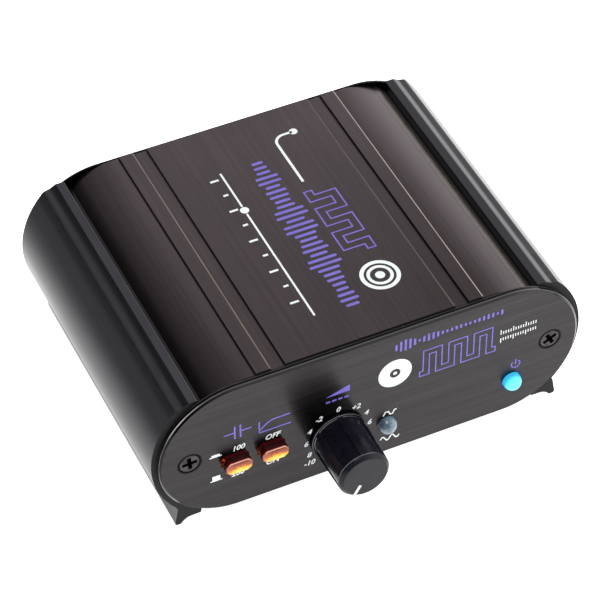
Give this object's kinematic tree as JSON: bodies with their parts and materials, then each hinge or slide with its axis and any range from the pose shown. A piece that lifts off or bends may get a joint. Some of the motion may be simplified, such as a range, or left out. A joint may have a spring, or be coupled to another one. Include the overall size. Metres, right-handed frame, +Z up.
{
  "type": "phono preamp",
  "caption": "Small desktop phono preamplifier: dark brushed stadium-section aluminium case with shaped side rails, amber push buttons, gain knob, lamps, rear phono sockets.",
  "frame": {"origin": "centre of the bounding box at the underside of the feet", "axes": "-Y is the front panel with the knob, +Y the rear panel with the sockets, +X the user's right, +Z up"},
  "size_m": [0.1206, 0.1162, 0.0455],
  "materials": {
    "case_finish": "dark brown-grey brushed anodised top, satin black sides",
    "front_panel_finish": "black anodised, brushed side to side, bright cut edge",
    "rear_panel_finish": "black anodised, brushed",
    "gasket_black": "black strip",
    "black_steel": "black oxide",
    "knob_black": "gloss black with a matt face",
    "pointer_white": "white",
    "shaft_metal": "satin",
    "pot_plastic": "black moulded",
    "pot_metal": "nickel plated",
    "pot_track": "brown laminate",
    "tinned": "tinned",
    "button_amber": "translucent amber-red moulding, lit through",
    "switch_black": "black moulded",
    "switch_white": "natural moulded",
    "spring_steel": "bright wire",
    "lamp_clear": "frosted grey-blue lens",
    "lamp_blue": "frosted lens, lit blue",
    "board_green": "green solder mask",
    "chip_black": "black moulded",
    "can_sleeve": "dark sleeve",
    "film_red": "dark red box",
    "disc_tan": "tan dipped",
    "resistor_blue": "pale blue lacquer with bands",
    "diode_black": "black with a pale band",
    "jack_black": "black moulded",
    "jack_gold": "gold plated",
    "insulator_white": "white",
    "insulator_red": "red",
    "post_nickel": "nickel plated",
    "print_purple": "screen-printed ink",
    "print_white": "screen-printed ink"
  },
  "bodies": {
    "chassis": {"case_extrusion": "case_finish", "front_panel": "front_panel_finish", "front_gasket": "gasket_black", "rear_panel": "rear_panel_finish", "front_panel_screws": "black_steel", "rear_panel_screws": "black_steel", "gain_pot_bushing": "pot_metal", "gain_pot_housing": "pot_plastic", "gain_pot_track": "pot_track", "gain_pot_cover": "pot_metal", "gain_pot_terminals": "tinned", "gain_pot_washer": "pot_metal", "gain_pot_nut": "pot_metal", "input_cap_switch_body": "switch_black", "filter_switch_body": "switch_black", "input_cap_switch_spring": "spring_steel", "filter_switch_spring": "spring_steel", "input_cap_switch_terminals": "tinned", "filter_switch_terminals": "tinned", "signal_lamp": "lamp_clear", "power_lamp": "lamp_blue", "lamp_leads": "tinned", "circuit_board": "board_green", "op_amps": "chip_black", "supply_capacitors": "can_sleeve", "coupling_capacitors": "can_sleeve", "film_capacitors": "film_red", "disc_capacitors": "disc_tan", "resistors": "resistor_blue", "rectifier_diodes": "diode_black", "voltage_regulator": "chip_black", "input_jack_housing": "jack_black", "output_jack_housing": "jack_black", "input_left_jack_shell": "jack_gold", "input_right_jack_shell": "jack_gold", "output_left_jack_shell": "jack_gold", "output_right_jack_shell": "jack_gold", "input_left_jack_insulator": "insulator_white", "output_left_jack_insulator": "insulator_white", "input_right_jack_insulator": "insulator_red", "output_right_jack_insulator": "insulator_red", "input_jack_contacts": "jack_gold", "output_jack_contacts": "jack_gold", "ground_post": "post_nickel", "ground_post_nut": "post_nickel", "ground_lug": "tinned", "ground_spacer": "switch_black", "dc_inlet_housing": "jack_black", "dc_inlet_pin": "post_nickel", "dc_inlet_contact": "tinned"},
    "gain_control": {"gain_knob": "knob_black", "gain_knob_pointer": "pointer_white", "gain_pot_shaft": "shaft_metal", "gain_pot_wiper": "pot_plastic"},
    "input_cap_button": {"input_cap_button_cap": "button_amber", "input_cap_switch_plunger": "switch_white"},
    "filter_button": {"filter_button_cap": "button_amber", "filter_switch_plunger": "switch_white"},
    "ground_washer_body": {"ground_washer": "post_nickel"},
    "ground_nut_body": {"ground_thumb_nut": "post_nickel"}
  },
  "joints": [
    {"name": "gain_turn", "type": "hinge", "parent": "chassis", "child": "gain_control", "pos_m": [-0.00997, -0.0418, 0.01565], "axis": [0, 1, 0], "range_deg": [0, 300]},
    {"name": "input_cap_press", "type": "slide", "parent": "chassis", "child": "input_cap_button", "axis": [0, 1, 0], "range_m": [0, 0.0025], "stiffness_N_per_m": 300, "springref_m": -0.002, "deforming": ["input_cap_switch_spring"]},
    {"name": "filter_press", "type": "slide", "parent": "chassis", "child": "filter_button", "axis": [0, 1, 0], "range_m": [0, 0.0025], "stiffness_N_per_m": 300, "springref_m": -0.002, "deforming": ["filter_switch_spring"]},
    {"name": "ground_washer_slide", "type": "slide", "parent": "chassis", "child": "ground_washer_body", "axis": [0, 1, 0], "range_m": [0, 0.0021]},
    {"name": "ground_nut_turn", "type": "hinge", "parent": "ground_washer_body", "child": "ground_nut_body", "pos_m": [-0.001, 0.049, 0.02155], "axis": [0, 1, 0], "range_deg": [-1080, 0]}
  ],
  "couplings": [
    {"joint": "ground_nut_turn", "follows": "ground_washer_slide", "rad_per_m": -8976}
  ]
}
